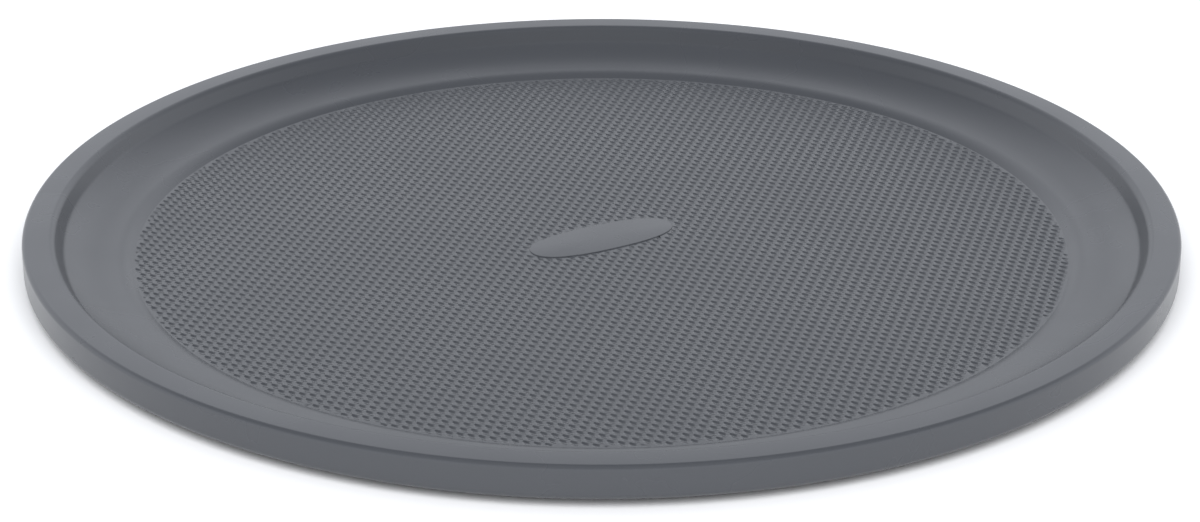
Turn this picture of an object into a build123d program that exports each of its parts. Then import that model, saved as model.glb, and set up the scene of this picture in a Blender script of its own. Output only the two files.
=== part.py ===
from build123d import *
from math import cos, radians, sin
import os

# Pizza pan: one sheet of coated steel, pressed to a shallow dish, with its edge
# turned down and curled round a steel wire. Millimetres, +Z up.
# The origin is on the table, under the middle of the pan. +X runs along the pad.

# Driving sizes, all measured on the top face of the sheet
pan_radius = 180.0
rim_height = 12.6
rim_width = 13.2
shoulder_width = 14.8
lip_clearance = 2.2

# The sheet and the waffle pressed into its disc
sheet = 0.8
pit_depth = 0.4
waffle_margin = 0.2

# The rounded step from the disc up to the smooth shoulder
step_foot_radius = 0.6
step_length = 0.15
step_angle = 30.0
step_top_radius = 11.6

# The smooth shoulder, a shallow curve that steepens outwards
shoulder_start_angle = 3.0
shoulder_end_angle = 28.0

# The short steep wall between the shoulder and the flange
wall_angle = 62.0
wall_foot_radius = 3.0
wall_top_radius = 2.6

# The edge: a down-turned lip, curled in round the wire
edge_radius = 1.4
lip_angle = 90.0
curl_angle = 270.0
wire_radius = 1.0
wire_gap = 0.3

# The blank oval pad in the middle of the disc
pad_length = 50.0
pad_width = 19.0
pad_height = 0.3
pad_edge_radius = 0.2

# Places worked out from the sizes above. The wall begins a rim's width inside
# the edge, and the shoulder begins its own width inside that.
wall_radius = pan_radius - rim_width
shoulder_start_radius = wall_radius - shoulder_width
disc_top = pit_depth + sheet
curl_radius = wire_radius + wire_gap + sheet
curl_center_radius = pan_radius - curl_radius
curl_center_height = lip_clearance + curl_radius


def turn_run(radius, start, end):
    """Distance outwards along a bend between two slopes in degrees."""
    return radius * abs(sin(radians(end)) - sin(radians(start)))


def turn_rise(radius, start, end):
    """Distance upwards along a bend between two slopes in degrees."""
    return radius * abs(cos(radians(start)) - cos(radians(end)))


# The step is a bend, a short straight and a wide bend the other way. The flat
# of the disc ends where it begins.
step_run = turn_run(step_foot_radius, 0, step_angle)
step_run += step_length * cos(radians(step_angle))
step_run += turn_run(step_top_radius, step_angle, shoulder_start_angle)
step_rise = turn_rise(step_foot_radius, 0, step_angle)
step_rise += step_length * sin(radians(step_angle))
step_rise += turn_rise(step_top_radius, step_angle, shoulder_start_angle)
flat_radius = shoulder_start_radius - step_run

# One arc carries the shoulder from its first slope to its last
shoulder_sines = sin(radians(shoulder_end_angle)) - sin(radians(shoulder_start_angle))
shoulder_radius = shoulder_width / shoulder_sines
shoulder_rise = turn_rise(shoulder_radius, shoulder_start_angle, shoulder_end_angle)

# The straight length of the wall is what the shoulder and two bends leave
wall_rise = rim_height - disc_top - step_rise - shoulder_rise
wall_rise -= turn_rise(wall_foot_radius, shoulder_end_angle, wall_angle)
wall_rise -= turn_rise(wall_top_radius, wall_angle, 0)
wall_length = wall_rise / sin(radians(wall_angle))

# The flat flange runs from the top of the wall to the bend of the edge
wall_run = turn_run(wall_foot_radius, shoulder_end_angle, wall_angle)
wall_run += wall_length * cos(radians(wall_angle))
wall_run += turn_run(wall_top_radius, wall_angle, 0)
flange_start_radius = wall_radius + wall_run
flange_length = pan_radius - edge_radius - flange_start_radius

# The lip is straight from the bend of the edge down to the curl
lip_length = rim_height - edge_radius - curl_center_height

# Straights and bends of the top face from the axis outwards. A straight is
# a length. A bend is a radius and an angle, upwards positive, down negative.
straights = [flat_radius, step_length, 0, 0, wall_length, flange_length, lip_length]
bends = [
    (step_foot_radius, step_angle),
    (step_top_radius, shoulder_start_angle - step_angle),
    (shoulder_radius, shoulder_end_angle - shoulder_start_angle),
    (wall_foot_radius, wall_angle - shoulder_end_angle),
    (wall_top_radius, -wall_angle),
    (edge_radius, -lip_angle),
    (curl_radius, -curl_angle),
]


def draw_face(depth):
    """Draw the face that lies this deep in the sheet, and return its two ends.

    A bend upwards has its centre above the sheet, so its radius grows with
    depth. A bend downwards has its centre below, and its radius shrinks.
    """
    start = Vector(0, disc_top - depth)
    place = start
    slope = 0
    for length, (radius, angle) in zip(straights, bends):
        along = Vector(1, 0).rotate(Axis.Z, slope)
        if length > 0:
            Line(place, place + along * length)
            place = place + along * length
        bend_radius = radius + depth if angle > 0 else radius - depth
        bend = JernArc(place, along, bend_radius, angle)
        place = bend @ 1
        slope += angle
    return start, place


# The pressed sheet, from the middle of the disc to the end of the curl
with BuildPart() as pan_body:
    with BuildSketch(Plane.XZ):
        with BuildLine():
            top_start, top_end = draw_face(0)
            under_start, under_end = draw_face(sheet)
            Line(top_start, under_start)
            Line(top_end, under_end)
        make_face()
    revolve(axis=Axis.Z)

    # Under the disc the pressed pits stand proud as bumps, drawn as one bed
    with BuildSketch(Plane.XY):
        Circle(flat_radius - waffle_margin)
    extrude(amount=pit_depth)

    # The pad is raised above the disc, and the sheet under it follows
    with BuildSketch(Plane.XY.offset(disc_top)):
        Ellipse(pad_length / 2, pad_width / 2)
    extrude(amount=pad_height)
    pad_top = pan_body.edges().filter_by_position(
        Axis.Z, disc_top + pad_height, disc_top + pad_height
    )
    fillet(pad_top, pad_edge_radius)
    with BuildSketch(Plane.XY):
        Ellipse(pad_length / 2, pad_width / 2)
    extrude(amount=pit_depth + pad_height, mode=Mode.SUBTRACT)

# The steel wire that stiffens the edge, lying in the curl
with BuildPart() as rim_wire:
    with BuildSketch(Plane.XZ):
        with Locations((curl_center_radius, curl_center_height)):
            Circle(wire_radius)
    revolve(axis=Axis.Z)

pan_body.part.label = "pan_body"
rim_wire.part.label = "rim_wire"
os.makedirs("parts", exist_ok=True)
export_step(pan_body.part, "parts/pan_body.step")
export_step(rim_wire.part, "parts/rim_wire.step")
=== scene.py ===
"""Looks of a round pizza pan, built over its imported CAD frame.

The pan stands on the table with its axis on Z. X runs along the blank oval pad
in its middle. Lengths are metres; sizes are written in millimetres times MM.
"""

import logging
import math
from dataclasses import dataclass
from enum import Enum
from typing import Optional, Sequence, Union

import bmesh
import bpy
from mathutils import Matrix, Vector


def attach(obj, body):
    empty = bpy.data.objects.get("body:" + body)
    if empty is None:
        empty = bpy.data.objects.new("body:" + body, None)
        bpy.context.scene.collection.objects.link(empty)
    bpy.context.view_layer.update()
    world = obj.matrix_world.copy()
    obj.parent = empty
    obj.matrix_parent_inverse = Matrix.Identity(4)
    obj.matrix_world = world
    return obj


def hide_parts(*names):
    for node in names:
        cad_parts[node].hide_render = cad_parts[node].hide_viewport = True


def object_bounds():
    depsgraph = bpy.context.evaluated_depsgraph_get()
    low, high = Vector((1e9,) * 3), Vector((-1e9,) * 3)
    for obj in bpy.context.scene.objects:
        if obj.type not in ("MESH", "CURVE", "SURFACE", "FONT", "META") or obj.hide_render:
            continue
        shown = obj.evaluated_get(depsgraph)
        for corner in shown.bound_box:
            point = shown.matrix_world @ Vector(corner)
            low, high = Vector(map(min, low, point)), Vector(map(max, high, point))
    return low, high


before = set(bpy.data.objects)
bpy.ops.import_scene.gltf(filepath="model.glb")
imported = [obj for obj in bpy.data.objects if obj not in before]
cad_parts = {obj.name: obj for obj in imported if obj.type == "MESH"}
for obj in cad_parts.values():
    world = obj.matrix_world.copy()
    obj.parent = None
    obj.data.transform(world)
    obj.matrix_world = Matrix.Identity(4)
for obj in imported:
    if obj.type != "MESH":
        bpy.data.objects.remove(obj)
cad_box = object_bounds()

MM = 0.001
LOG = logging.getLogger("pizza_pan")

# The noise of the grain has this detail. The noise of the marks has its own
# detail and bend, and it grows from no mark to a full one between two levels.
GRAIN_DETAIL = 2.0
MARKS_DETAIL = 4.0
MARKS_BEND = 0.6
MARKS_FROM = 0.35
MARKS_UNTIL = 0.65

# The thickness of the sheet, and the height at which the bumps hold the disc
SHEET = 0.8 * MM
DISC_UNDER = 0.4 * MM

Pair = tuple[float, float]
Color = tuple[float, float, float]
Value = Union[bpy.types.Node, bpy.types.NodeSocket, float, int, str, Sequence[float]]


class CadNode(Enum):
    """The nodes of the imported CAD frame."""

    PAN = "pan_body"
    WIRE = "rim_wire"


class Slot(Enum):
    """The material slots, whose names the materials take."""

    COAT = "nonstick_coat"
    WIRE = "bare_wire"


class Quarter(Enum):
    """The quarters that the waffle is built in, by the signs of their sides."""

    FIRST = (1, 1)
    SECOND = (-1, 1)
    THIRD = (-1, -1)
    FOURTH = (1, -1)


class Graph:
    """A node tree in the making, with short calls to add and link its nodes."""

    def __init__(self, tree: bpy.types.NodeTree) -> None:
        """Start on a tree.

        Args:
            tree: The tree that takes the nodes.
        """
        self.tree = tree

    @staticmethod
    def socket(
        sockets: Sequence[bpy.types.NodeSocket], key: Union[int, str]
    ) -> bpy.types.NodeSocket:
        """Find a socket by its number, or the first one in use of that name.

        Args:
            sockets: The inputs or the outputs of a node.
            key: The number or the name.

        Returns:
            The socket.
        """
        if isinstance(key, int):
            return sockets[key]
        return next(s for s in sockets if s.name == key and s.enabled)

    def feed(self, socket: bpy.types.NodeSocket, value: Value) -> None:
        """Link a node or a socket to an input, or set the input to a constant.

        Args:
            socket: The input.
            value: What it takes. Of a node it takes the first output in use.
        """
        if isinstance(value, bpy.types.Node):
            value = next(s for s in value.outputs if s.enabled)
        if isinstance(value, bpy.types.NodeSocket):
            self.tree.links.new(value, socket)
        else:
            socket.default_value = value

    def add(
        self,
        kind: str,
        inputs: Optional[dict[Union[int, str], Value]] = None,
        **settings: object,
    ) -> bpy.types.Node:
        """Add a node.

        Args:
            kind: The type of the node.
            inputs: What its inputs take, by number or name.
            **settings: The options of the node itself.

        Returns:
            The node.
        """
        node = self.tree.nodes.new(kind)
        for name, value in settings.items():
            setattr(node, name, value)
        for key, value in (inputs or {}).items():
            self.feed(self.socket(node.inputs, key), value)
        return node

    def math(self, operation: str, *values: Value, clamp: bool = False) -> bpy.types.NodeSocket:
        """Add a Math node.

        Args:
            operation: Its operation.
            *values: Its inputs in order.
            clamp: Whether the result is held between 0 and 1.

        Returns:
            Its output.
        """
        inputs = dict(enumerate(values))
        node = self.add("ShaderNodeMath", inputs, operation=operation, use_clamp=clamp)
        return node.outputs[0]

    def vector(self, operation: str, *values: Value) -> bpy.types.NodeSocket:
        """Add a Vector Math node.

        Args:
            operation: Its operation.
            The table.

        Returns:
            Its output, a number where the operation gives one.
        """
        inputs = dict(enumerate(values))
        if operation == "SCALE":
            inputs = {0: values[0], "Scale": values[1]}
        node = self.add("ShaderNodeVectorMath", inputs, operation=operation)
        return next(s for s in node.outputs if s.enabled)

    def attribute(self, name: str, kind: str) -> bpy.types.NodeSocket:
        """Read a named attribute in a geometry tree.

        Args:
            name: The name of the attribute.
            kind: Its data type.

        Returns:
            The attribute as a socket.
        """
        node = self.add("GeometryNodeInputNamedAttribute", {"Name": name}, data_type=kind)
        return self.socket(node.outputs, "Attribute")

    def store(self, geometry: Value, name: str, kind: str, value: Value) -> bpy.types.Node:
        """Store a named attribute on the points of a geometry.

        Args:
            geometry: The geometry.
            name: The name of the attribute.
            kind: Its data type.
            value: What each point stores.

        Returns:
            The node that passes the geometry on.
        """
        inputs = {"Geometry": geometry, "Name": name, "Value": value}
        return self.add(
            "GeometryNodeStoreNamedAttribute", inputs, data_type=kind, domain="POINT"
        )


def finished(name: str, mesh: bpy.types.Mesh, sharp_angle: float) -> bpy.types.Object:
    """Make an object at the origin from a mesh, shaded smooth between its edges.

    Args:
        name: The name of the piece.
        mesh: Its mesh, in place.
        sharp_angle: The angle in degrees from which an edge stays sharp.

    Returns:
        The object.
    """
    mesh.name = name
    mesh.shade_smooth()
    mesh.set_sharp_from_angle(angle=math.radians(sharp_angle))
    piece = bpy.data.objects.new(name, mesh)
    bpy.context.scene.collection.objects.link(piece)
    return piece


def dress(piece: bpy.types.Object, finish: bpy.types.Material) -> None:
    """Give a piece of the pan its coat, and let it stand for the CAD pan.

    Args:
        piece: The piece.
        finish: The material of the coat.
    """
    piece.data.materials.clear()
    piece.data.materials.append(finish)
    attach(piece, "root")
    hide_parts(CadNode.PAN.value)
    LOG.info("%s: %d faces", piece.name, len(piece.data.polygons))


def ring_mesh(name: str, rings: Sequence[Sequence[Vector]], looped: bool) -> bpy.types.Mesh:
    """Join rings of points into one closed mesh.

    Args:
        name: The name of the mesh.
        rings: The rings, all with the same number of points.
        looped: Whether the last ring joins the first. If not, both end rings
            are closed with a fan round a middle point.

    Returns:
        The mesh, with its faces pointing outwards.
    """
    shape = bmesh.new()
    made = [[shape.verts.new(point) for point in ring] for ring in rings]
    count = len(rings[0])
    pairs = list(zip(made, made[1:] + made[:1]))
    for one, other in pairs if looped else pairs[:-1]:
        for i in range(count):
            j = (i + 1) % count
            shape.faces.new((one[i], one[j], other[j], other[i]))
    for ring in [] if looped else [made[0], made[-1]]:
        middle = shape.verts.new(sum((v.co for v in ring), Vector()) / count)
        for i in range(count):
            shape.faces.new((ring[i], ring[(i + 1) % count], middle))
    bmesh.ops.recalc_face_normals(shape, faces=shape.faces)
    mesh = bpy.data.meshes.new(name)
    shape.to_mesh(mesh)
    shape.free()
    return mesh


def shader_group(name: str, inputs: Sequence[str], outputs: dict[str, str]) -> Graph:
    """Start a shader node group.

    Args:
        name: The name of the group.
        inputs: The names of its number inputs, after its vector input Place.
        outputs: The socket type of each output by name.

    Returns:
        The group's graph, with one node for its inputs and one for its outputs.
    """
    group = bpy.data.node_groups.new(name, "ShaderNodeTree")
    group.interface.new_socket("Place", in_out="INPUT", socket_type="NodeSocketVector")
    for key in inputs:
        group.interface.new_socket(key, in_out="INPUT", socket_type="NodeSocketFloat")
    for key, kind in outputs.items():
        group.interface.new_socket(key, in_out="OUTPUT", socket_type=kind)
    graph = Graph(group)
    graph.add("NodeGroupInput")
    graph.add("NodeGroupOutput")
    return graph


def grain_group() -> bpy.types.NodeTree:
    """Make the fine grain of a sprayed coat: a number from 0 to 1 and a normal.

    Returns:
        The node group, with the inputs Place, Grains Per Metre and Height.
    """
    outputs = {"Value": "NodeSocketFloat", "Normal": "NodeSocketVector"}
    graph = shader_group("coat_grain", ("Grains Per Metre", "Height"), outputs)
    source, result = graph.tree.nodes[:2]
    noise = graph.add(
        "ShaderNodeTexNoise",
        {
            "Vector": source.outputs["Place"],
            "Scale": source.outputs["Grains Per Metre"],
            "Detail": GRAIN_DETAIL,
        },
    )
    bump = graph.add(
        "ShaderNodeBump",
        {"Height": noise, "Distance": source.outputs["Height"], "Strength": 1.0},
    )
    graph.feed(result.inputs["Value"], noise)
    graph.feed(result.inputs["Normal"], bump)
    return graph.tree


def marks_group() -> bpy.types.NodeTree:
    """Make broad, faint marks of use and cleaning: a number from 0 to 1.

    Returns:
        The node group, with the inputs Place and Marks Per Metre.
    """
    outputs = {"Value": "NodeSocketFloat"}
    graph = shader_group("soft_marks", ("Marks Per Metre",), outputs)
    source, result = graph.tree.nodes[:2]
    noise = graph.add(
        "ShaderNodeTexNoise",
        {
            "Vector": source.outputs["Place"],
            "Scale": source.outputs["Marks Per Metre"],
            "Detail": MARKS_DETAIL,
            "Distortion": MARKS_BEND,
        },
    )
    spread = graph.add(
        "ShaderNodeMapRange",
        {"Value": noise, "From Min": MARKS_FROM, "From Max": MARKS_UNTIL},
    )
    graph.feed(result.inputs["Value"], spread)
    return graph.tree


@dataclass(frozen=True)
class NonstickCoat:
    """The sprayed and baked coat, a cool dark grey with a satin shine."""

    dark: Color = (0.058, 0.062, 0.070)
    light: Color = (0.066, 0.070, 0.078)
    low_roughness: float = 0.26
    high_roughness: float = 0.3
    refraction: float = 1.5
    grains_per_metre: float = 2600.0
    grain_height: float = 0.004 * MM
    marks_per_metre: float = 22.0

    def material(self) -> bpy.types.Material:
        """Make the material.

        Returns:
            The material, procedural on Object coordinates.
        """
        made = bpy.data.materials.new(Slot.COAT.value)
        made.use_nodes = True
        graph = Graph(made.node_tree)
        shader = made.node_tree.nodes["Principled BSDF"]
        place = graph.add("ShaderNodeTexCoord").outputs["Object"]
        grain = graph.add("ShaderNodeGroup", node_tree=grain_group())
        graph.feed(grain.inputs["Place"], place)
        graph.feed(grain.inputs["Grains Per Metre"], self.grains_per_metre)
        graph.feed(grain.inputs["Height"], self.grain_height)
        marks = graph.add("ShaderNodeGroup", node_tree=marks_group())
        graph.feed(marks.inputs["Place"], place)
        graph.feed(marks.inputs["Marks Per Metre"], self.marks_per_metre)
        tint = graph.add("ShaderNodeMix", data_type="RGBA")
        graph.feed(graph.socket(tint.inputs, "Factor"), grain.outputs["Value"])
        graph.feed(graph.socket(tint.inputs, "A"), (*self.dark, 1.0))
        graph.feed(graph.socket(tint.inputs, "B"), (*self.light, 1.0))
        rough = graph.add(
            "ShaderNodeMapRange",
            {
                "Value": marks.outputs["Value"],
                "To Min": self.low_roughness,
                "To Max": self.high_roughness,
            },
        )
        graph.feed(shader.inputs["Base Color"], graph.socket(tint.outputs, "Result"))
        graph.feed(shader.inputs["Roughness"], rough)
        graph.feed(shader.inputs["IOR"], self.refraction)
        graph.feed(shader.inputs["Normal"], grain.outputs["Normal"])
        return made


@dataclass(frozen=True)
class BareWire:
    """Drawn steel wire, bare, with a fine grain."""

    color: Color = (0.55, 0.55, 0.56)
    low_roughness: float = 0.3
    high_roughness: float = 0.42
    grains_per_metre: float = 1500.0
    grain_height: float = 0.004 * MM

    def material(self) -> bpy.types.Material:
        """Make the material.

        Returns:
            The material, procedural on Object coordinates.
        """
        made = bpy.data.materials.new(Slot.WIRE.value)
        made.use_nodes = True
        graph = Graph(made.node_tree)
        shader = made.node_tree.nodes["Principled BSDF"]
        grain = graph.add("ShaderNodeGroup", node_tree=grain_group())
        graph.feed(grain.inputs["Place"], graph.add("ShaderNodeTexCoord").outputs["Object"])
        graph.feed(grain.inputs["Grains Per Metre"], self.grains_per_metre)
        graph.feed(grain.inputs["Height"], self.grain_height)
        rough = graph.add(
            "ShaderNodeMapRange",
            {
                "Value": grain.outputs["Value"],
                "To Min": self.low_roughness,
                "To Max": self.high_roughness,
            },
        )
        graph.feed(shader.inputs["Base Color"], (*self.color, 1.0))
        graph.feed(shader.inputs["Metallic"], 1.0)
        graph.feed(shader.inputs["Roughness"], rough)
        graph.feed(shader.inputs["Normal"], grain.outputs["Normal"])
        return made


@dataclass(frozen=True)
class PressedRing:
    """The smooth part of the pressed sheet, from the waffle out to the curl.

    Sizes are those of the sheet's top face, as in the solids.
    """

    outer_radius: float
    rim_height: float = 12.6 * MM
    shoulder_start_radius: float = 152.0 * MM
    wall_radius: float = 166.8 * MM
    lip_clearance: float = 2.2 * MM
    sheet: float = SHEET
    disc_under: float = DISC_UNDER
    waffle_margin: float = 0.2 * MM
    step_foot_radius: float = 0.6 * MM
    step_length: float = 0.15 * MM
    step_angle: float = 30.0
    step_top_radius: float = 11.6 * MM
    shoulder_start_angle: float = 3.0
    shoulder_end_angle: float = 28.0
    wall_angle: float = 62.0
    wall_foot_radius: float = 3.0 * MM
    wall_top_radius: float = 2.6 * MM
    edge_radius: float = 1.4 * MM
    lip_angle: float = 90.0
    curl_angle: float = 270.0
    curl_radius: float = 2.1 * MM
    segments: int = 432
    degrees_per_face: float = 6.0
    longest_face: float = 4.0 * MM
    sharp_angle: float = 40.0

    @staticmethod
    def run(radius: float, start: float, end: float) -> float:
        """Distance outwards along a bend between two slopes in degrees."""
        return radius * abs(math.sin(math.radians(end)) - math.sin(math.radians(start)))

    @staticmethod
    def rise(radius: float, start: float, end: float) -> float:
        """Distance upwards along a bend between two slopes in degrees."""
        return radius * abs(math.cos(math.radians(start)) - math.cos(math.radians(end)))

    @property
    def disc_top(self) -> float:
        """Height of the disc's top face."""
        return self.disc_under + self.sheet

    @property
    def step_height(self) -> float:
        """Height of the step, from the disc to the start of the shoulder."""
        rise = self.rise(self.step_foot_radius, 0, self.step_angle)
        rise += self.step_length * math.sin(math.radians(self.step_angle))
        rise += self.rise(self.step_top_radius, self.step_angle, self.shoulder_start_angle)
        return rise

    @property
    def flat_radius(self) -> float:
        """Radius at which the flat of the disc ends."""
        run = self.run(self.step_foot_radius, 0, self.step_angle)
        run += self.step_length * math.cos(math.radians(self.step_angle))
        run += self.run(self.step_top_radius, self.step_angle, self.shoulder_start_angle)
        return self.shoulder_start_radius - run

    @property
    def waffle_radius(self) -> float:
        """Radius at which the waffle ends and this ring begins."""
        return self.flat_radius - self.waffle_margin

    def course(self) -> list[tuple[float, float, float]]:
        """List the sheet's course outwards.

        Returns:
            A straight length, then a bend's radius and angle, for each bend.
        """
        start, end = self.shoulder_start_angle, self.shoulder_end_angle
        width = self.wall_radius - self.shoulder_start_radius
        sines = math.sin(math.radians(end)) - math.sin(math.radians(start))
        shoulder = width / sines
        rise = self.rim_height - self.disc_top - self.step_height
        rise -= self.rise(shoulder, start, end)
        rise -= self.rise(self.wall_foot_radius, end, self.wall_angle)
        rise -= self.rise(self.wall_top_radius, self.wall_angle, 0)
        wall = rise / math.sin(math.radians(self.wall_angle))
        run = self.run(self.wall_foot_radius, end, self.wall_angle)
        run += wall * math.cos(math.radians(self.wall_angle))
        run += self.run(self.wall_top_radius, self.wall_angle, 0)
        flange = self.outer_radius - self.edge_radius - self.wall_radius - run
        curl_middle = self.lip_clearance + self.curl_radius
        lip = self.rim_height - self.edge_radius - curl_middle
        return [
            (self.waffle_margin, self.step_foot_radius, self.step_angle),
            (self.step_length, self.step_top_radius, start - self.step_angle),
            (0.0, shoulder, end - start),
            (0.0, self.wall_foot_radius, self.wall_angle - end),
            (wall, self.wall_top_radius, -self.wall_angle),
            (flange, self.edge_radius, -self.lip_angle),
            (lip, self.curl_radius, -self.curl_angle),
        ]

    def face(self, depth: float) -> list[Pair]:
        """Work out the section of the face that lies this deep in the sheet.

        Args:
            depth: The depth below the top face.

        Returns:
            Radius and height of its points, from the waffle to the curl's end.
        """
        radius, height, slope = self.waffle_radius, self.disc_top - depth, 0.0
        points = [(radius, height)]
        for straight, bend, angle in self.course():
            parts = max(1, math.ceil(straight / self.longest_face))
            for _ in range(parts if straight > 0 else 0):
                radius += straight / parts * math.cos(math.radians(slope))
                height += straight / parts * math.sin(math.radians(slope))
                points.append((radius, height))
            upwards = math.copysign(1.0, angle)
            bend_radius = bend + upwards * depth
            length = bend * math.radians(abs(angle))
            steps = abs(angle) / self.degrees_per_face
            parts = math.ceil(max(steps, length / self.longest_face))
            for _ in range(parts):
                after = slope + angle / parts
                turn = math.radians(slope), math.radians(after)
                radius += upwards * bend_radius * (math.sin(turn[1]) - math.sin(turn[0]))
                height += upwards * bend_radius * (math.cos(turn[0]) - math.cos(turn[1]))
                slope = after
                points.append((radius, height))
        return points

    def build(self, finish: bpy.types.Material) -> bpy.types.Object:
        """Turn the section round the axis and coat it.

        Args:
            finish: The material of the coat.

        Returns:
            The piece.
        """
        section = self.face(0.0) + self.face(self.sheet)[::-1]
        turns = [math.tau * i / self.segments for i in range(self.segments)]
        rings = [
            [Vector((r * math.cos(t), r * math.sin(t), z)) for t in turns]
            for r, z in section
        ]
        mesh = ring_mesh("pressed_ring", rings, looped=True)
        piece = finished("pressed_ring", mesh, self.sharp_angle)
        dress(piece, finish)
        return piece


@dataclass(frozen=True)
class BlankPad:
    """The blank oval pad in the middle of the disc, raised from the sheet."""

    length: float = 50.0 * MM
    width: float = 19.0 * MM
    bluntness: float = 2.4
    disc_under: float = DISC_UNDER
    sheet: float = SHEET
    height: float = 0.3 * MM
    edge_radius: float = 0.2 * MM
    edge_steps: int = 6
    recess_wall: float = 0.3 * MM
    points: int = 160
    sharp_angle: float = 50.0

    def outline(self, inset: float, height: float) -> list[Vector]:
        """Work out the blunt oval, moved inwards.

        Args:
            inset: The distance inwards.
            height: The height above the table.

        Returns:
            The points of the oval.
        """
        power = 2 / self.bluntness
        ring = []
        for i in range(self.points):
            turn = math.tau * i / self.points
            x, y = math.cos(turn), math.sin(turn)
            x = math.copysign(abs(x) ** power, x) * (self.length / 2 - inset)
            y = math.copysign(abs(y) ** power, y) * (self.width / 2 - inset)
            ring.append(Vector((x, y, height)))
        return ring

    def build(self, finish: bpy.types.Material) -> bpy.types.Object:
        """Build the pad with its recess underneath, and coat it.

        Args:
            finish: The material of the coat.

        Returns:
            The piece.
        """
        top = self.disc_under + self.sheet + self.height
        recess = self.disc_under + self.height
        rings = []
        for step in range(self.edge_steps + 1):
            turn = math.pi / 2 * step / self.edge_steps
            inset = self.edge_radius * (1 - math.sin(turn))
            rings.append(self.outline(inset, top - self.edge_radius * (1 - math.cos(turn))))
        rings.append(self.outline(0.0, self.disc_under))
        rings.append(self.outline(self.recess_wall, self.disc_under))
        rings.append(self.outline(self.recess_wall + self.height, recess))
        mesh = ring_mesh("blank_pad", rings, looped=False)
        piece = finished("blank_pad", mesh, self.sharp_angle)
        dress(piece, finish)
        return piece


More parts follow.
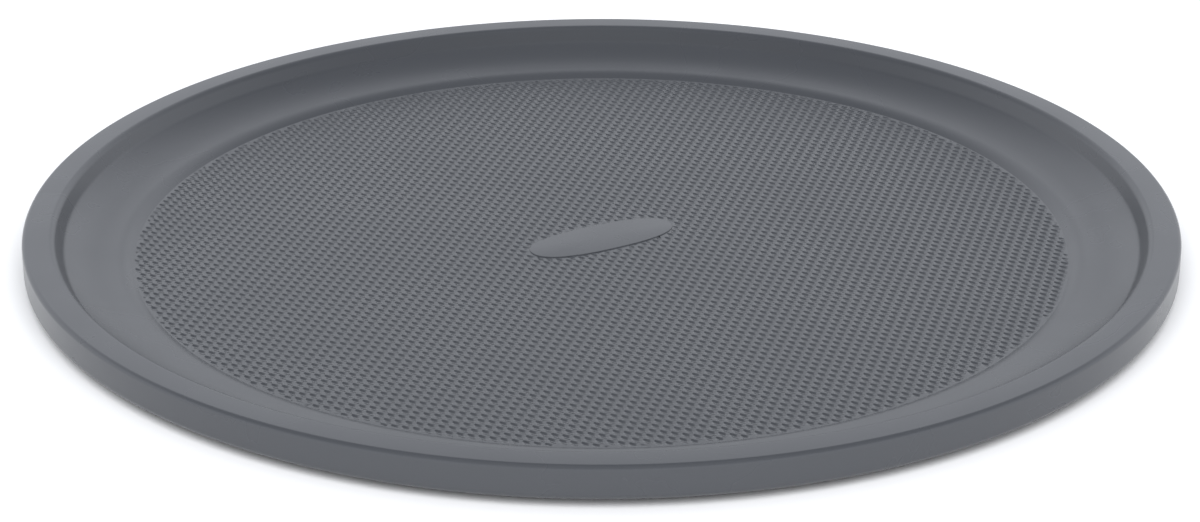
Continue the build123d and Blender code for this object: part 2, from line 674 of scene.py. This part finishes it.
@dataclass(frozen=True)
class WaffleDisc:
    """The embossed disc: lozenge pits on top, and the bumps that they make below.

    The pits' centres make a square grid at 45 degrees to the pad, so that the
    pits stand in staggered rows, long across the pad's length and a little aslant.
    """

    border_radius: float
    pad: BlankPad
    pitch: float = 3.168 * MM
    turn: float = -45.0
    sheet: float = SHEET
    disc_under: float = DISC_UNDER
    pit_depth: float = 0.26 * MM
    pit_length: float = 4.3 * MM
    pit_width: float = 1.5 * MM
    pit_turn: float = 6.0
    bump_height: float = DISC_UNDER
    bump_length: float = 3.45 * MM
    bump_width: float = 2.2 * MM
    floor_share: float = 0.9
    bluntness: float = 2.3
    border_fade: float = 0.4 * MM
    depth_spread: float = 0.05
    seed: int = 7
    sharp_angle: float = 62.0

    # A cell has this many points a side. Its rings lie at these shares of the pitch.
    CELL_POINTS = 6
    BORDER_SHARE = 0.5
    LIP_SHARE = 0.3
    FLOOR_SHARE = 0.1
    # Points closer than these merge: the first joins cells, the second tidies borders.
    JOIN_DISTANCE = 0.002 * MM
    TIDY_DISTANCE = 0.04 * MM
    # A face lies wholly beyond an outline where more than this share of its points does.
    WHOLE_SHARE = 0.999

    def sizes(self, quarter: Quarter) -> dict[str, float]:
        """List the tree's number inputs.

        Args:
            quarter: The quarter to build.

        Returns:
            The value of each input by its name.
        """
        return {
            "Quarter X": float(quarter.value[0]),
            "Quarter Y": float(quarter.value[1]),
            "Pitch": self.pitch,
            "Turn": math.radians(self.turn),
            "Border Radius": self.border_radius,
            "Sheet": self.sheet,
            "Disc Underside": self.disc_under,
            "Pit Depth": self.pit_depth,
            "Pit Length": self.pit_length,
            "Pit Width": self.pit_width,
            "Pit Turn": math.radians(self.pit_turn),
            "Bump Height": self.bump_height,
            "Bump Length": self.bump_length,
            "Bump Width": self.bump_width,
            "Floor Share": self.floor_share,
            "Bluntness": self.bluntness,
            "Border Fade": self.border_fade,
            "Depth Spread": self.depth_spread,
            "Pad Half Length": self.pad.length / 2,
            "Pad Half Width": self.pad.width / 2,
            "Pad Bluntness": self.pad.bluntness,
        }

    def cell(self, graph: Graph, source: bpy.types.Node) -> bpy.types.Node:
        """Make one flat cell whose points know their place in it.

        Args:
            graph: The tree's graph.
            source: The tree's inputs.

        Returns:
            The node that gives the cell.
        """
        pitch = source.outputs["Pitch"]
        grid = graph.add(
            "GeometryNodeMeshGrid",
            {
                "Size X": pitch,
                "Size Y": pitch,
                "Vertices X": self.CELL_POINTS,
                "Vertices Y": self.CELL_POINTS,
            },
        )
        place = graph.add("GeometryNodeInputPosition")
        sides = graph.add("ShaderNodeSeparateXYZ", {0: graph.vector("ABSOLUTE", place)})
        far = graph.math("MAXIMUM", sides.outputs[0], sides.outputs[1])
        known = graph.store(grid, "cell_place", "FLOAT_VECTOR", place)
        return graph.store(known, "ring", "FLOAT", graph.math("DIVIDE", far, pitch))

    def lattice(self, graph: Graph, source: bpy.types.Node) -> bpy.types.Node:
        """Make the points of one quarter's cells, each with its share of the depth.

        Args:
            graph: The tree's graph.
            source: The tree's inputs.

        Returns:
            The node that gives the points.
        """
        pitch = source.outputs["Pitch"]
        count = math.ceil(self.border_radius / self.pitch) + 1
        span = graph.math("MULTIPLY", pitch, float(count - 1))
        points = graph.add(
            "GeometryNodeMeshGrid",
            {"Size X": span, "Size Y": span, "Vertices X": count, "Vertices Y": count},
        )
        half = graph.math("MULTIPLY", pitch, count / 2)
        middle = graph.add(
            "ShaderNodeCombineXYZ",
            {
                side: graph.math("MULTIPLY", half, source.outputs["Quarter " + side])
                for side in ("X", "Y")
            },
        )
        placed = graph.add("GeometryNodeTransform", {0: points, "Translation": middle})
        least = graph.math("SUBTRACT", 1.0, source.outputs["Depth Spread"])
        share = graph.add(
            "FunctionNodeRandomValue",
            {"Min": least, "Max": 1.0, "Seed": source.outputs["Seed"]},
            data_type="FLOAT",
        )
        return graph.store(placed, "share", "FLOAT", graph.socket(share.outputs, "Value"))

    def plan(
        self, graph: Graph, source: bpy.types.Node
    ) -> tuple[bpy.types.NodeSocket, bpy.types.NodeSocket, bpy.types.NodeSocket]:
        """Work out where a point lies in plan.

        Args:
            graph: The tree's graph.
            source: The tree's inputs.

        Returns:
            Its place without its height, its distance from the axis, and its
            distance from the middle of the pad, 1 on the pad's outline.
        """
        place = graph.add("GeometryNodeInputPosition")
        flat = graph.vector("MULTIPLY", place, (1.0, 1.0, 0.0))
        distance = graph.vector("LENGTH", flat)
        turned = graph.add(
            "ShaderNodeVectorRotate",
            {"Vector": flat, "Angle": source.outputs["Turn"]},
            rotation_type="Z_AXIS",
        )
        sides = graph.add("ShaderNodeSeparateXYZ", {0: graph.vector("ABSOLUTE", turned)})
        power = source.outputs["Pad Bluntness"]
        terms = [
            graph.math("POWER", graph.math("DIVIDE", side, source.outputs[size]), power)
            for side, size in zip(sides.outputs, ("Pad Half Length", "Pad Half Width"))
        ]
        oval = graph.math("ADD", *terms)
        oval = graph.math("POWER", oval, graph.math("DIVIDE", 1.0, power))
        return flat, distance, oval

    def beyond(
        self, graph: Graph, source: bpy.types.Node
    ) -> list[tuple[bpy.types.NodeSocket, bpy.types.NodeSocket]]:
        """Find the points beyond the disc's border, and those inside the pad.

        Args:
            graph: The tree's graph.
            source: The tree's inputs.

        Returns:
            For each of the two, whether a point lies there, and its way back.
        """
        flat, distance, oval = self.plan(graph, source)
        border = source.outputs["Border Radius"]
        scales = [
            (graph.math("GREATER_THAN", distance, border), graph.math("DIVIDE", border, distance)),
            (graph.math("LESS_THAN", oval, 1.0), graph.math("DIVIDE", 1.0, oval)),
        ]
        return [
            (outside, graph.vector("SCALE", flat, graph.math("SUBTRACT", scale, 1.0)))
            for outside, scale in scales
        ]

    def held(
        self, graph: Graph, source: bpy.types.Node, geometry: bpy.types.Node
    ) -> bpy.types.Node:
        """Draw points back on to the disc's border and the outline of the pad.

        Args:
            graph: The tree's graph.
            source: The tree's inputs.
            geometry: The node that gives the points.

        Returns:
            The node that gives them with none beyond.
        """
        for outside, way in self.beyond(graph, source):
            geometry = graph.add(
                "GeometryNodeSetPosition",
                {"Geometry": geometry, "Selection": outside, "Offset": way},
            )
        return geometry

    def trimmed(
        self, graph: Graph, source: bpy.types.Node, cells: bpy.types.Node
    ) -> bpy.types.Node:
        """Cut the flat cells off at the disc's border and round the pad.

        Faces that lie wholly beyond are deleted, and the points that are left
        there are drawn back.

        Args:
            graph: The tree's graph.
            source: The tree's inputs.
            cells: The node that gives the flat cells.

        Returns:
            The node that gives the trimmed plan.
        """
        node = cells
        for outside, _ in self.beyond(graph, source):
            share = graph.add(
                "GeometryNodeFieldOnDomain", {0: outside}, domain="POINT", data_type="FLOAT"
            )
            beyond = graph.socket(share.outputs, "Value")
            wholly = graph.math("GREATER_THAN", beyond, self.WHOLE_SHARE)
            node = graph.add(
                "GeometryNodeDeleteGeometry", {"Geometry": node, "Selection": wholly}, domain="FACE"
            )
        node = self.held(graph, source, node)
        return graph.add(
            "GeometryNodeMergeByDistance", {"Geometry": node, "Distance": self.TIDY_DISTANCE}
        )

    def thickened(
        self, graph: Graph, source: bpy.types.Node, plan: bpy.types.Node
    ) -> bpy.types.Node:
        """Give the flat plan the thickness of the sheet, as a closed shell.

        Args:
            graph: The tree's graph.
            source: The tree's inputs.
            plan: The node that gives the plan.

        Returns:
            The node that gives the shell.
        """
        raised = graph.add(
            "GeometryNodeExtrudeMesh",
            {
                "Mesh": plan,
                "Offset": (0.0, 0.0, 1.0),
                "Offset Scale": source.outputs["Sheet"],
                "Individual": False,
            },
            mode="FACES",
        )
        under = graph.add("GeometryNodeFlipFaces", {0: plan})
        both = graph.add("GeometryNodeJoinGeometry", {0: raised})
        graph.feed(both.inputs[0], under)
        return graph.add(
            "GeometryNodeMergeByDistance", {"Geometry": both, "Distance": self.JOIN_DISTANCE}
        )

    def rings(self, graph: Graph) -> tuple[bpy.types.NodeSocket, bpy.types.NodeSocket]:
        """Tell the points of a cell apart by their ring.

        Args:
            graph: The tree's graph.

        Returns:
            1 in the lip and the floor, and 1 in the floor alone, else 0.
        """
        ring = graph.attribute("ring", "FLOAT")
        inside = graph.math("LESS_THAN", ring, (self.BORDER_SHARE + self.LIP_SHARE) / 2)
        deep = graph.math("LESS_THAN", ring, (self.LIP_SHARE + self.FLOOR_SHARE) / 2)
        return inside, deep

    def by_face(
        self, graph: Graph, source: bpy.types.Node, below: str, above: str
    ) -> bpy.types.NodeSocket:
        """Take one size on the underside of the shell and another on its top.

        Args:
            graph: The tree's graph.
            source: The tree's inputs.
            below: The input with the size on the underside.
            above: The input with the size on the top.

        Returns:
            The size that holds at a point.
        """
        sizes = source.outputs
        height = graph.add("ShaderNodeSeparateXYZ", {0: graph.add("GeometryNodeInputPosition")})
        middle = graph.math("DIVIDE", sizes["Sheet"], 2.0)
        on_top = graph.math("GREATER_THAN", height.outputs[2], middle)
        change = graph.math("SUBTRACT", sizes[above], sizes[below])
        return graph.math("MULTIPLY_ADD", change, on_top, sizes[below])

    def fade(self, graph: Graph, source: bpy.types.Node) -> bpy.types.NodeSocket:
        """Fade the pits out towards the disc's border and the pad.

        Args:
            graph: The tree's graph.
            source: The tree's inputs.

        Returns:
            0 on the outlines, 1 away from them.
        """
        sizes = source.outputs
        _, distance, oval = self.plan(graph, source)
        from_border = graph.math("SUBTRACT", sizes["Border Radius"], distance)
        from_pad = graph.math("SUBTRACT", oval, 1.0)
        from_pad = graph.math("MULTIPLY", from_pad, sizes["Pad Half Width"])
        nearer = graph.math("MINIMUM", from_border, from_pad)
        return graph.math("DIVIDE", nearer, sizes["Border Fade"], clamp=True)

    def drawn(
        self, graph: Graph, source: bpy.types.Node, shell: bpy.types.Node
    ) -> bpy.types.Node:
        """Draw the lip and the floor of each cell out to lozenges, in plan.

        Args:
            graph: The tree's graph.
            source: The tree's inputs.
            shell: The node that gives the shell.

        Returns:
            The node that gives the shell with its lozenges still flat.
        """
        sizes = source.outputs
        inside, deep = self.rings(graph)
        place = graph.attribute("cell_place", "FLOAT_VECTOR")
        turn = graph.math("SUBTRACT", sizes["Turn"], sizes["Pit Turn"])
        turned = graph.add(
            "ShaderNodeVectorRotate", {"Vector": place, "Angle": turn}, rotation_type="Z_AXIS"
        )
        sides = graph.add("ShaderNodeSeparateXYZ", {0: graph.vector("ABSOLUTE", turned)})
        terms = []
        for side, size in zip(sides.outputs, ("Width", "Length")):
            span = self.by_face(graph, source, "Bump " + size, "Pit " + size)
            share = graph.math("DIVIDE", side, graph.math("DIVIDE", span, 2.0))
            terms.append(graph.math("POWER", share, sizes["Bluntness"]))
        root = graph.math("DIVIDE", 1.0, sizes["Bluntness"])
        lozenge = graph.math("POWER", graph.math("ADD", *terms), root)
        narrowing = graph.math("SUBTRACT", sizes["Floor Share"], 1.0)
        reach = graph.math("MULTIPLY_ADD", narrowing, deep, 1.0)
        reach = graph.math("DIVIDE", reach, lozenge)
        pull = graph.math("MULTIPLY", graph.math("SUBTRACT", reach, 1.0), inside)
        pull = graph.math("MULTIPLY", pull, self.fade(graph, source))
        moved = graph.add(
            "GeometryNodeSetPosition",
            {"Geometry": shell, "Offset": graph.vector("SCALE", place, pull)},
        )
        return self.held(graph, source, moved)

    def pressed(
        self, graph: Graph, source: bpy.types.Node, shell: bpy.types.Node
    ) -> bpy.types.Node:
        """Press the pits into the shell, which makes the bumps below.

        Args:
            graph: The tree's graph.
            source: The tree's inputs.
            shell: The node that gives the shell with its flat lozenges.

        Returns:
            The node that gives the pressed shell.
        """
        deep = self.rings(graph)[1]
        share = graph.math("MULTIPLY", deep, graph.attribute("share", "FLOAT"))
        share = graph.math("MULTIPLY", share, self.fade(graph, source))
        depth = self.by_face(graph, source, "Bump Height", "Pit Depth")
        drop = graph.math("MULTIPLY", graph.math("MULTIPLY", depth, share), -1.0)
        down = graph.add("ShaderNodeCombineXYZ", {"Z": drop})
        return graph.add("GeometryNodeSetPosition", {"Geometry": shell, "Offset": down})

    def tree(self, quarter: Quarter) -> bpy.types.NodeTree:
        """Build the tree that makes one quarter of the disc.

        Args:
            quarter: The quarter, for the inputs' defaults.

        Returns:
            The geometry node tree.
        """
        group = bpy.data.node_groups.new("waffle_disc", "GeometryNodeTree")
        sockets = group.interface
        sockets.new_socket("Geometry", in_out="INPUT", socket_type="NodeSocketGeometry")
        for name, value in self.sizes(quarter).items():
            made = sockets.new_socket(name, in_out="INPUT", socket_type="NodeSocketFloat")
            made.default_value = value
        sockets.new_socket("Seed", in_out="INPUT", socket_type="NodeSocketInt")
        sockets.new_socket("Material", in_out="INPUT", socket_type="NodeSocketMaterial")
        sockets.new_socket("Geometry", in_out="OUTPUT", socket_type="NodeSocketGeometry")
        graph = Graph(group)
        source = graph.add("NodeGroupInput")
        points = self.lattice(graph, source)
        distance = self.plan(graph, source)[1]
        reach = graph.math("ADD", source.outputs["Border Radius"], source.outputs["Pitch"])
        cells = graph.add(
            "GeometryNodeInstanceOnPoints",
            {
                "Points": points,
                "Selection": graph.math("LESS_THAN", distance, reach),
                "Instance": self.cell(graph, source),
            },
        )
        cells = graph.add("GeometryNodeRealizeInstances", {0: cells})
        cells = graph.add(
            "GeometryNodeMergeByDistance", {"Geometry": cells, "Distance": self.JOIN_DISTANCE}
        )
        plan = self.trimmed(graph, source, cells)
        shell = self.thickened(graph, source, plan)
        shell = self.drawn(graph, source, shell)
        shell = self.pressed(graph, source, shell)
        up = graph.add("ShaderNodeCombineXYZ", {"Z": source.outputs["Disc Underside"]})
        turn = graph.add("ShaderNodeCombineXYZ", {"Z": source.outputs["Turn"]})
        placed = graph.add(
            "GeometryNodeTransform", {0: shell, "Translation": up, "Rotation": turn}
        )
        plain = graph.add("GeometryNodeRealizeInstances", {0: placed})
        coated = graph.add(
            "GeometryNodeSetMaterial", {0: plain, "Material": source.outputs["Material"]}
        )
        graph.add("NodeGroupOutput", {0: coated})
        return group

    def build(self, finish: bpy.types.Material) -> list[bpy.types.Object]:
        """Build the four quarters and coat them.

        Args:
            finish: The material of the coat.

        Returns:
            The pieces.
        """
        group = self.tree(Quarter.FIRST)
        sockets = {
            item.name: item.identifier
            for item in group.interface.items_tree
            if item.in_out == "INPUT"
        }
        pieces = []
        for quarter in Quarter:
            name = "waffle_" + quarter.name.lower()
            maker = bpy.data.objects.new(name + "_maker", bpy.data.meshes.new(name))
            bpy.context.scene.collection.objects.link(maker)
            modifier = maker.modifiers.new("waffle", "NODES")
            modifier.node_group = group
            for key, value in self.sizes(quarter).items():
                modifier[sockets[key]] = value
            modifier[sockets["Seed"]] = self.seed
            modifier[sockets["Material"]] = finish
            made = maker.evaluated_get(bpy.context.evaluated_depsgraph_get())
            mesh = bpy.data.meshes.new_from_object(made)
            bpy.data.objects.remove(maker)
            for key in ("cell_place", "ring", "share"):
                mesh.attributes.remove(mesh.attributes[key])
            piece = finished(name, mesh, self.sharp_angle)
            dress(piece, finish)
            pieces.append(piece)
        return pieces


@dataclass(frozen=True)
class RimWire:
    """The wire in the curl, shown as the CAD frame has it."""

    def dress(self, finish: bpy.types.Material) -> None:
        """Give the CAD wire its finish.

        Args:
            finish: The material of the wire.
        """
        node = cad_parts[CadNode.WIRE.value]
        for slot in node.material_slots:
            slot.material = finish
        LOG.info("%s: %d slots dressed", node.name, len(node.material_slots))


@dataclass(frozen=True)
class Studio:
    """A white table under a broad soft light and a sky that is dark overhead.

    In reflections the sky is brightest a little above the horizon. Its dark top
    leans towards the camera, and it is brighter to both sides of the pan.
    """

    heading: float = 210.0
    table_size: float = 60.0
    table_color: Color = (0.97, 0.97, 0.97)
    table_roughness: float = 0.9
    sky_color: Color = (0.955, 0.982, 1.04)
    sky_level: float = 0.75
    peak_level: float = 1.12
    horizon_share: float = 0.55
    top_share: float = 0.07
    side_gain: float = 1.2
    rise_from: float = -15.0
    peak_at: float = 14.0
    fall_from: float = 10.0
    dark_from: float = 48.0
    side_from: float = 0.03
    side_until: float = 0.11
    lean: float = 12.0
    lamp_level: float = 0.67
    lamp_elevation: float = 50.0
    lamp_width: float = 70.0

    def table(self) -> bpy.types.Object:
        """Make the table.

        Returns:
            The table, as stage.
        """
        half = self.table_size / 2
        corners = [(-half, -half, 0), (half, -half, 0), (half, half, 0), (-half, half, 0)]
        mesh = bpy.data.meshes.new("table")
        mesh.from_pydata(corners, [], [(0, 1, 2, 3)])
        made = bpy.data.materials.new("white_table")
        made.use_nodes = True
        graph = Graph(made.node_tree)
        shader = made.node_tree.nodes["Principled BSDF"]
        graph.feed(shader.inputs["Base Color"], (*self.table_color, 1.0))
        graph.feed(shader.inputs["Roughness"], self.table_roughness)
        graph.feed(shader.inputs["Specular IOR Level"], 0.0)
        mesh.materials.append(made)
        table = bpy.data.objects.new("table", mesh)
        bpy.context.scene.collection.objects.link(table)
        return table

    def shone(self, graph: Graph) -> bpy.types.NodeSocket:
        """Work out how bright the sky is in reflections, by direction.

        Args:
            graph: The world's graph.

        Returns:
            The level.
        """
        turn, lean = math.radians(self.heading), math.radians(self.lean)
        back = Vector((math.sin(turn), math.cos(turn), 0.0))
        side = Vector((math.cos(turn), -math.sin(turn), 0.0))
        top = back * math.sin(lean) + Vector((0.0, 0.0, math.cos(lean)))
        place = graph.add("ShaderNodeTexCoord").outputs["Generated"]
        height = graph.math("ARCSINE", graph.vector("DOT_PRODUCT", place, tuple(top)))
        across = graph.math("ABSOLUTE", graph.vector("DOT_PRODUCT", place, tuple(side)))
        rise, peak = math.radians(self.rise_from), math.radians(self.peak_at)
        fall, dark = math.radians(self.fall_from), math.radians(self.dark_from)
        spans = [
            (height, rise, peak, self.horizon_share, 1.0),
            (height, fall, dark, 1.0, self.top_share),
            (across, self.side_from, self.side_until, 1.0, self.side_gain),
        ]
        level = self.peak_level
        for value, *ends in spans:
            names = ("From Min", "From Max", "To Min", "To Max")
            share = graph.add(
                "ShaderNodeMapRange",
                {"Value": value, **dict(zip(names, ends))},
                interpolation_type="SMOOTHSTEP",
            )
            level = graph.math("MULTIPLY", share, level)
        return level

    def world(self) -> None:
        """Make the sky: even light, its own look in reflections, white behind."""
        world = bpy.data.worlds.new("studio")
        bpy.context.scene.world = world
        world.use_nodes = True
        graph = Graph(world.node_tree)
        sky = world.node_tree.nodes["Background"]
        path = graph.add("ShaderNodeLightPath")
        level = graph.math("SUBTRACT", self.shone(graph), self.sky_level)
        level = graph.math(
            "MULTIPLY_ADD", level, path.outputs["Is Glossy Ray"], self.sky_level
        )
        seen = graph.math("SUBTRACT", 1.0, level)
        level = graph.math("MULTIPLY_ADD", seen, path.outputs["Is Camera Ray"], level)
        tint = graph.add("ShaderNodeMix", data_type="RGBA")
        graph.feed(graph.socket(tint.inputs, "Factor"), path.outputs["Is Camera Ray"])
        graph.feed(graph.socket(tint.inputs, "A"), (*self.sky_color, 1.0))
        graph.feed(graph.socket(tint.inputs, "B"), (1.0, 1.0, 1.0, 1.0))
        graph.feed(sky.inputs["Color"], graph.socket(tint.outputs, "Result"))
        graph.feed(sky.inputs["Strength"], level)

    def lamp(self) -> None:
        """Hang the soft light above the camera, out of the pan's reflections."""
        light = bpy.data.lights.new("overhead_light", "SUN")
        light.energy = self.lamp_level * math.pi
        light.angle = math.radians(self.lamp_width)
        lamp = bpy.data.objects.new("overhead_light", light)
        bpy.context.scene.collection.objects.link(lamp)
        turn, lift = math.radians(self.heading), math.radians(self.lamp_elevation)
        towards = Vector((math.sin(turn), math.cos(turn), math.tan(lift)))
        lamp.location = towards
        lamp.rotation_mode = "QUATERNION"
        lamp.rotation_quaternion = (-towards).to_track_quat("-Z", "Y")
        lamp.visible_glossy = False

    def build(self) -> None:
        """Set up table, sky and lamp."""
        self.table()
        self.world()
        self.lamp()
        bpy.context.scene.view_settings.view_transform = "Standard"
        LOG.info("studio set up")


@dataclass(frozen=True)
class CameraRig:
    """The camera, as fitted to the photograph."""

    picture_width: float = 1200.0
    focal_pixels: float = 3133.0
    sensor_width: float = 36.0
    heading: float = 30.0
    distance: float = 911.4 * MM
    to_the_left: float = 0.5 * MM
    height: float = 388.5 * MM
    pitch: float = 23.443

    def build(self) -> bpy.types.Object:
        """Set up the camera.

        Returns:
            The camera.
        """
        data = bpy.data.cameras.new("camera")
        data.sensor_width = self.sensor_width
        data.lens = self.focal_pixels / self.picture_width * self.sensor_width
        camera = bpy.data.objects.new("camera", data)
        bpy.context.scene.collection.objects.link(camera)
        turn = math.radians(self.heading)
        ahead = Vector((math.sin(turn), math.cos(turn), 0.0))
        left = Vector((-math.cos(turn), math.sin(turn), 0.0))
        camera.location = left * self.to_the_left - ahead * self.distance
        camera.location.z = self.height
        camera.rotation_euler = (math.pi / 2 - math.radians(self.pitch), 0.0, -turn)
        bpy.context.scene.camera = camera
        LOG.info("camera at %s", tuple(round(v, 4) for v in camera.location))
        return camera


def main() -> None:
    """Build the pan and its studio."""
    logging.basicConfig(level=logging.INFO, format="%(name)s: %(message)s")
    low, high = cad_box
    coat = NonstickCoat().material()
    ring = PressedRing(outer_radius=min(-low.x, -low.y, high.x, high.y))
    ring.build(coat)
    pad = BlankPad()
    pad.build(coat)
    WaffleDisc(border_radius=ring.waffle_radius, pad=pad).build(coat)
    RimWire().dress(BareWire().material())
    Studio().build()
    CameraRig().build()


if __name__ == "__main__":
    main()
